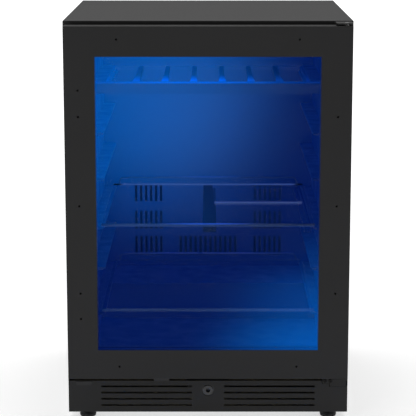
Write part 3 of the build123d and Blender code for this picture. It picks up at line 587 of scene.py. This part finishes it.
BLACK_PLASTIC = black_plastic()
MATERIALS = {       # by slot
    "black_metal": black_paint(),
    "galvanised": galvanised(),
    "steel": steel("bright_steel", 0.5, 0.3),
    "black_plastic": BLACK_PLASTIC,
    "liner_plastic": liner_plastic("liner_wall", 1.0),
    "duct_plastic": liner_plastic("duct_wall", 1.0),
    "foam": foam(),
    "pane": door_glass(),
    "shelf_glass": shelf_glass(),
    "seal_rubber": rubber(),
    "compressor_black": compressor_enamel(),
    "copper": copper(),
    "fin_alloy": fins(),
    "fan_plastic": BLACK_PLASTIC,
    "lock_zinc": steel("lock_zinc", 0.060, 0.42, (60, 1, 1)),
    "nylon": nylon(),
    "lamp": lamp_cover(),
    "rack_black": rack_coat_painted_glow(),
    "chrome_wire": plated_wire_painted_highlight(),
}
# Painted glow for the glass edges: brighter on the half shelf's edge and the lower bevel as painted
# highlights, and on the rear edge only within its limits
EDGE = ground_edge("glass_edge", 0.35)
UPPER_BEVEL = upper_bevel()
LOWER_BEVEL = ground_edge("glass_bevel_below", 1.0, (0.014, 0.045, 0.17), (0.016, 0.06, 0.26))
LOWER_EDGE = ground_edge("glass_edge_lower", 0.6)
HALF_EDGE = ground_edge("glass_edge_half", 1.25, (0.10, 0.13, 0.36), (0.12, 0.16, 0.45))
REAR_EDGE = ground_edge("glass_edge_rear", 1.0, (0.03, 0.06, 0.22), (0.03, 0.10, 0.36), REAR_EDGE_LIMITS)
SIDE_EDGE = ground_edge("glass_edge_side", 0.9, GLOW_DEEP, GLOW_BRIGHT)
BLACK_STEEL = black_steel()
CHANNEL_ALLOY = channel_alloy()
# a shaded copy of the liner: its painted glow is weaker on the side walls
LINER_SIDE_SHADED = liner_plastic("liner_side", 0.88)
DOOR_INSIDE = door_inside()
SPECIAL = {         # by node, where the slot's own look isn't enough
    "half_shelf_rails": channel_coat_painted_glow(),
    "hinge_screws": oxide_screw(),
    "rack_rods": rack_bar(),
    "rack_frame": rack_side(),
    "lock_cam": BLACK_STEEL,
    "rack_slides": LINER_SIDE_SHADED,
    "liner_left": LINER_SIDE_SHADED,
    "liner_right": LINER_SIDE_SHADED,
    "door_core": DOOR_INSIDE,
    "door_glass_spacer": DOOR_INSIDE,
}


def paint_nodes():
    """Gives every CAD node its own material or that of its slot."""
    for entry in frame["record"]["subparts"]:
        o = NODES[entry["node"]]
        o.data.materials.clear()
        shader = SPECIAL.get(entry["node"]) or MATERIALS[entry["material_slot"]]
        o.data.materials.append(shader.m)



paint_nodes()


# ---------------------------------------------------------------- mesh helpers

def piece(name, bm, body, shaders, *stands_for, slot, smooth=35):
    """Turns a bmesh into a piece that rides on a body. Edges sharper than smooth degrees stay crisp."""
    bmesh.ops.recalc_face_normals(bm, faces=bm.faces)
    mesh = bpy.data.meshes.new(name)
    bm.to_mesh(mesh)
    bm.free()
    for shader in shaders:
        mesh.materials.append(shader.m)
    mesh.polygons.foreach_set("use_smooth", [True] * len(mesh.polygons))
    mesh.set_sharp_from_angle(angle=math.radians(smooth))
    o = bpy.data.objects.new(name, mesh)
    scene.collection.objects.link(o)
    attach(o, body)
    if stands_for:
        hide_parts(*stands_for)


def bridge(bm, a, b, material=0, closed=True):
    """Quads between two rows of vertices."""
    count = len(a) if closed else len(a) - 1
    for i in range(count):
        j = (i + 1) % len(a)
        bm.faces.new((a[i], a[j], b[j], b[i])).material_index = material


def fan(bm, tip, ring, material=0):
    """Triangles from a ring of vertices to a tip."""
    for i, corner in enumerate(ring):
        bm.faces.new((tip, corner, ring[(i + 1) % len(ring)])).material_index = material


def row(bm, points):
    return [bm.verts.new(p) for p in points]


def rounded(x0, x1, y0, y1, r, steps=5):
    """Points round a rectangle with round corners."""
    points = []
    corners = ((x1 - r, y1 - r, 0), (x0 + r, y1 - r, 90), (x0 + r, y0 + r, 180), (x1 - r, y0 + r, 270))
    for cx, cy, start in corners:
        for i in range(steps + 1):
            a = math.radians(start + 90 * i / steps)
            points.append((cx + r * math.cos(a), cy + r * math.sin(a)))
    return points


def axes(along):
    """A direction of length 1, and two more across it."""
    along = Vector(along).normalized()
    side = along.orthogonal().normalized()
    return along, side, along.cross(side)


def spoke(side, other, a):
    """The direction at an angle in the plane of two others."""
    return side * math.cos(a) + other * math.sin(a)


def lathe(bm, profile, at, along, segments=24, material=0, outline=None):
    """Turns (radius, height) pairs about an axis. A radius of 0 closes the end to a point. An outline
    scales the radius by angle and height."""
    along, side, other = axes(along)
    rows = []
    for r, h in profile:
        middle = Vector(at) + along * h
        if r == 0:
            rows.append([bm.verts.new(middle)])
            continue
        ring = []
        for i in range(segments):
            a = 2 * math.pi * i / segments
            reach = r * (outline(a, h) if outline else 1.0)
            ring.append(bm.verts.new(middle + spoke(side, other, a) * reach))
        rows.append(ring)
    for a, b in zip(rows, rows[1:]):
        if len(a) == 1:
            fan(bm, a[0], b, material)
        elif len(b) == 1:
            fan(bm, b[0], a, material)
        else:
            bridge(bm, a, b, material)


def recess(a):
    """The outline of a cross recess: four arms, and a narrow middle between them."""
    return 0.52 if abs(math.sin(2 * a)) < 0.5 else 0.2


HEAD_LEVELS = (     # share of the radius, height over the radius, outline
    (1.0, 0.0, None),
    (1.0, 0.22, None),
    (0.93, 0.42, None),
    (0.78, 0.55, None),
    (0.6, 0.6, None),
    (1.0, 0.6, recess),
    (0.8, 0.22, recess),
)
RECESS_FLOOR = 0.18


def screw_head(bm, at, out, r, segments=32):
    """A pan head with a cross recess, standing on a surface."""
    out, side, other = axes(out)
    rows = []
    for share, h, outline in HEAD_LEVELS:
        ring = []
        for i in range(segments):
            a = 2 * math.pi * (i + 0.5) / segments
            reach = r * share * (outline(a) if outline else 1.0)
            ring.append(bm.verts.new(Vector(at) + out * (h * r) + spoke(side, other, a) * reach))
        rows.append(ring)
    for a, b in zip(rows, rows[1:]):
        bridge(bm, a, b)
    fan(bm, bm.verts.new(Vector(at) + out * (RECESS_FLOOR * r)), rows[-1])


# ---------------------------------------------------------------- glass shelves

PANE_CORNER = 0.005
REAR_BAND = 0.004       # faces this near the back edge belong to it
FRONT_BAND = 0.006      # and this near the front edge to the front


def glass_plate(name, body, bevel, edge, above, below, rear):
    """A shelf of glass with a ground edge and a small bevel above and below it."""
    lo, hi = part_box(name)
    bm = bmesh.new()
    levels = ((lo.z, bevel), (lo.z + bevel, 0.0), (hi.z - bevel, 0.0), (hi.z, bevel))
    rows = []
    for z, inset in levels:
        outline = rounded(lo.x + inset, hi.x - inset, lo.y + inset, hi.y - inset, PANE_CORNER - inset)
        rows.append(row(bm, [(x, y, z) for x, y in outline]))
    shaders = (MATERIALS["shelf_glass"], edge, above, below, rear, SIDE_EDGE)
    pane_at, edge_at, above_at, below_at, rear_at, side_at = range(len(shaders))
    bridge(bm, rows[0], rows[1], below_at)
    bridge(bm, rows[1], rows[2], edge_at)
    bridge(bm, rows[2], rows[3], above_at)
    for f in bm.faces:
        y = f.calc_center_median().y
        if y > hi.y - REAR_BAND:
            f.material_index = rear_at
        elif y > lo.y + FRONT_BAND:
            f.material_index = side_at
    for flat in (rows[0], rows[3]):
        bm.faces.new(flat).material_index = pane_at
    piece(name + "_pane", bm, body, shaders, name, slot="shelf_glass", smooth=20)


glass_plate("shelf_upper", "cabinet", 0.0014, EDGE, UPPER_BEVEL, LOWER_BEVEL, REAR_EDGE)
glass_plate("shelf_lower", "cabinet", 0.0008, LOWER_EDGE, LOWER_EDGE, LOWER_EDGE, SIDE_EDGE)
glass_plate("half_shelf", "half_shelf", 0.0010, EDGE, HALF_EDGE, HALF_EDGE, SIDE_EDGE)


# ---------------------------------------------------------------- door seal

SEAL_OPENING = Vector((0.252, 0.140, 0.823))    # half width, bottom and top of the seal's inner edge
SEAL_PROFILE = (        # share of the width outwards, share of the depth backwards
    (0.10, 0.0), (0.86, 0.0), (0.93, 0.10), (0.80, 0.22), (0.97, 0.36), (0.80, 0.50), (0.99, 0.64),
    (1.0, 0.78), (0.96, 0.94), (0.86, 1.0), (0.16, 1.0), (0.04, 0.93), (0.0, 0.78), (0.10, 0.62),
    (0.02, 0.46), (0.12, 0.30), (0.03, 0.12),
)


def door_seal():
    """A bellows seal with mitred corners: a clip foot, a folded side and a magnet pocket."""
    lo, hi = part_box("door_gasket")
    half_width, bottom, top = SEAL_OPENING
    wide = hi.x - half_width
    deep = hi.y - lo.y
    bm = bmesh.new()
    rows = []
    for out, back in SEAL_PROFILE:
        x = half_width + out * wide
        z0 = bottom - out * wide
        z1 = top + out * wide
        y = lo.y + back * deep
        rows.append(row(bm, [(-x, y, z0), (x, y, z0), (x, y, z1), (-x, y, z1)]))
    for a, b in zip(rows, rows[1:] + rows[:1]):
        bridge(bm, a, b)
    piece("door_seal", bm, "door", (MATERIALS["seal_rubber"],), "door_gasket", slot="seal_rubber", smooth=50)


door_seal()


# ---------------------------------------------------------------- lamps

LAMP_LOW = 0.250
LAMP_HIGH = 0.790
LAMP_DEEP = 0.0078
SIDE_LAMP_HALF = 0.005      # half the width of the strip
TOP_LAMP_HALF = 0.006
TOP_LAMP_END = 0.220        # from the middle of the cavity
TOP_LAMP_GAP = 0.0022       # under the cavity's top
CHANNEL_WALL = 0.0012
CAP_LENGTH = 0.002
CAP_FOOT = 0.0002


def arch(half_width, base, rise, steps=12):
    """Points of half an ellipse, from right to left."""
    turns = [math.pi * i / steps for i in range(steps + 1)]
    return [(half_width * math.cos(a), base + rise * math.sin(a)) for a in turns]


def lamp_strip(start, end, out, half_width):
    """A strip lamp: an alloy channel, a domed cover and two end caps. out points into the cavity."""
    start, end, out = Vector(start), Vector(end), Vector(out)
    along = (end - start).normalized()
    across = along.cross(out)
    wall, deep = CHANNEL_WALL, LAMP_DEEP
    bm = bmesh.new()

    def section(at, points):
        return row(bm, [at + across * u + out * v for u, v in points])

    inner = half_width - wall
    channel = [(-half_width, 0), (half_width, 0), (half_width, deep * 0.6), (inner, deep * 0.6),
               (inner, wall), (-inner, wall), (-inner, deep * 0.6), (-half_width, deep * 0.6)]
    bridge(bm, section(start, channel), section(end, channel))

    cover = half_width - wall * 1.1
    dome = [(cover, deep * 0.3)] + arch(cover, deep * 0.52, deep * 0.46) + [(-cover, deep * 0.3)]
    inset = along * CAP_LENGTH
    bridge(bm, section(start + inset, dome), section(end - inset, dome), 1)

    side = half_width * 0.98
    cap = arch(side, deep * 0.5, deep * 0.5) + [(-side, CAP_FOOT), (side, CAP_FOOT)]
    for p, q in ((start, start + inset), (end - inset, end)):
        a, b = section(p, cap), section(q, cap)
        bridge(bm, a, b, 2)
        bm.faces.new(a).material_index = 2
        bm.faces.new(b).material_index = 2
    return bm


def lamp_strips():
    """The lamps up both sides of the opening, and the one along its top."""
    lo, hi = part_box("led_bars")
    side_x = hi.x
    side_y = lo.y + SIDE_LAMP_HALF
    top_y = lo.y + TOP_LAMP_HALF
    top_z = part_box("liner_back")[1].z - TOP_LAMP_GAP
    shaders = (CHANNEL_ALLOY, MATERIALS["lamp"], MATERIALS["black_plastic"])
    left = lamp_strip((-side_x, side_y, LAMP_LOW), (-side_x, side_y, LAMP_HIGH), (1, 0, 0), SIDE_LAMP_HALF)
    piece("lamp_left", left, "cabinet", shaders, "led_bars", slot="lamp")
    right = lamp_strip((side_x, side_y, LAMP_LOW), (side_x, side_y, LAMP_HIGH), (-1, 0, 0), SIDE_LAMP_HALF)
    piece("lamp_right", right, "cabinet", shaders, slot="lamp")
    top = lamp_strip((-TOP_LAMP_END, top_y, top_z), (TOP_LAMP_END, top_y, top_z), (0, 0, -1), TOP_LAMP_HALF)
    piece("lamp_top", top, "cabinet", shaders, slot="lamp")


lamp_strips()


# ---------------------------------------------------------------- the back

SHEET_COLUMNS = 120
SHEET_ROWS = 132
SHEET = 0.0009
FIELD_MARGIN = 0.028        # from the sheet's edge to the pressed field
FIELD_DEEP = 0.0025
FIELD_SLOPE = 0.006
SWAGES = (0.30, 0.50, 0.70)     # heights, as shares of the sheet's
SWAGE_HALF = 0.19           # half the straight length
SWAGE_R = 0.018
SWAGE_RISE = 0.0022
SWAGE_SLOPE = 0.008
SCREW_MARGIN = 0.012
SCREW_R = 0.0038
SCREW_SUNK = 0.0002


def ease(t):
    """0 to 1 with a smooth start and end."""
    t = min(max(t, 0.0), 1.0)
    return t * t * (3 - 2 * t)


def swaged_back():
    """The back sheet, with a pressed field and three long swages that stiffen it."""
    lo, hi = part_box("back_panel")
    bm = bmesh.new()

    def dip(x, z):
        """How far the sheet is pressed in at a point."""
        edge = min(x - lo.x, hi.x - x, z - lo.z, hi.z - z)
        depth = FIELD_DEEP * ease((edge - FIELD_MARGIN) / FIELD_SLOPE)
        for share in SWAGES:
            centre = lo.z + (hi.z - lo.z) * share
            run = max(abs(x) - SWAGE_HALF, 0.0)
            away = math.hypot(run, z - centre)
            depth -= SWAGE_RISE * ease((SWAGE_R - away) / SWAGE_SLOPE)
        return depth

    grids = []
    for y in (hi.y, hi.y - SHEET):
        grid = []
        for j in range(SHEET_ROWS + 1):
            z = lo.z + (hi.z - lo.z) * j / SHEET_ROWS
            xs = [lo.x + (hi.x - lo.x) * i / SHEET_COLUMNS for i in range(SHEET_COLUMNS + 1)]
            grid.append(row(bm, [(x, y - dip(x, z), z) for x in xs]))
        grids.append(grid)
        for a, b in zip(grid, grid[1:]):
            bridge(bm, a, b, closed=False)
    outer, inner = grids
    for i in (0, -1):
        bridge(bm, outer[i], inner[i], closed=False)
    for i in (0, -1):
        bridge(bm, [line[i] for line in outer], [line[i] for line in inner], closed=False)
    piece("back_sheet", bm, "cabinet", (MATERIALS["galvanised"],), "back_panel", slot="galvanised", smooth=60)


def back_screws():
    """Screws round the back sheet and the lower cover."""
    lo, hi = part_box("back_panel")
    cover_lo, cover_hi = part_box("service_cover")
    left, right = lo.x + SCREW_MARGIN, hi.x - SCREW_MARGIN
    spots = []
    for i in range(5):
        x = left + (hi.x - lo.x - 2 * SCREW_MARGIN) * i / 4
        spots += [(x, hi.z - SCREW_MARGIN), (x, lo.z + SCREW_MARGIN), (x, cover_lo.z + SCREW_MARGIN)]
    for share in (0.25, 0.5, 0.75):
        z = lo.z + (hi.z - lo.z) * share
        spots += [(left, z), (right, z)]
    z = (cover_lo.z + cover_hi.z) / 2
    spots += [(left, z), (right, z)]
    bm = bmesh.new()
    for x, z in spots:
        screw_head(bm, (x, hi.y - SCREW_SUNK, z), (0, 1, 0), SCREW_R)
    piece("back_screws", bm, "cabinet", (MATERIALS["steel"],), slot="steel")


swaged_back()
back_screws()


# ---------------------------------------------------------------- levelling legs

UP = (0, 0, 1)
SOLE_TOP = 0.0030
FOOT_TOP = 0.0092
HEX_BOTTOM = 0.0090
HEX_TOP = 0.0233
HEX_R = 0.0100
HEX_CHAMFER = 0.0006
STEM_R = 0.0050
THREAD_START = 0.0236
PITCH = 0.0015
TURN_STEPS = 6


def thread(a, h):
    """A triangular thread's outline."""
    phase = (h / PITCH - a / (2 * math.pi)) % 1.0
    return 0.86 + 0.14 * abs(2 * phase - 1)


def levelling_leg(name):
    """A rubber-soled foot, a hexagon and a threaded stem."""
    lo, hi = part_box(name)
    at = ((lo.x + hi.x) / 2, (lo.y + hi.y) / 2, lo.z)
    r = (hi.x - lo.x) / 2
    tall = hi.z - lo.z
    bm = bmesh.new()
    sole = [(0, 0), (r * 0.86, 0), (r * 0.93, 0.0004), (r * 0.96, 0.0016), (r * 0.93, SOLE_TOP),
            (0, SOLE_TOP)]
    lathe(bm, sole, at, UP, 48, 1)
    foot = [(0, SOLE_TOP), (r * 0.95, SOLE_TOP), (r, 0.0036), (r, 0.0052), (r * 0.92, 0.0068),
            (r * 0.72, 0.0082), (0.012, FOOT_TOP), (0, FOOT_TOP)]
    lathe(bm, foot, at, UP, 48)
    flat = HEX_R - HEX_CHAMFER
    hexagon = [(0, HEX_BOTTOM), (flat, HEX_BOTTOM), (HEX_R, HEX_BOTTOM + HEX_CHAMFER),
               (HEX_R, HEX_TOP - HEX_CHAMFER), (flat, HEX_TOP), (0, HEX_TOP)]
    lathe(bm, hexagon, at, UP, 6)
    turns = int((tall - HEX_TOP - 0.0002) / PITCH)
    stem = [(0, HEX_TOP), (0.0046, HEX_TOP)]
    stem += [(STEM_R, THREAD_START + PITCH * i / TURN_STEPS) for i in range(turns * TURN_STEPS)]
    stem += [(0.0040, tall - 0.0003), (0, tall)]
    lathe(bm, stem, at, UP, 20, outline=thread)
    piece(name + "_foot", bm, name, (BLACK_STEEL, MATERIALS["seal_rubber"]), name, slot="steel")


for leg in ("leg_front_left", "leg_front_right", "leg_rear_left", "leg_rear_right"):
    levelling_leg(leg)


# ---------------------------------------------------------------- lamp inside the cavity

GLOW_HEIGHT = 0.80
BEHIND_DOOR = 0.075
area_light("glow_top", at=(-0.05, FRONT + BEHIND_DOOR, GLOW_HEIGHT), towards=(-0.05, 0.1, 0.3),
           size=0.4, power=1.2, colour=(0.0, 0.2, 1.0), height=0.02)
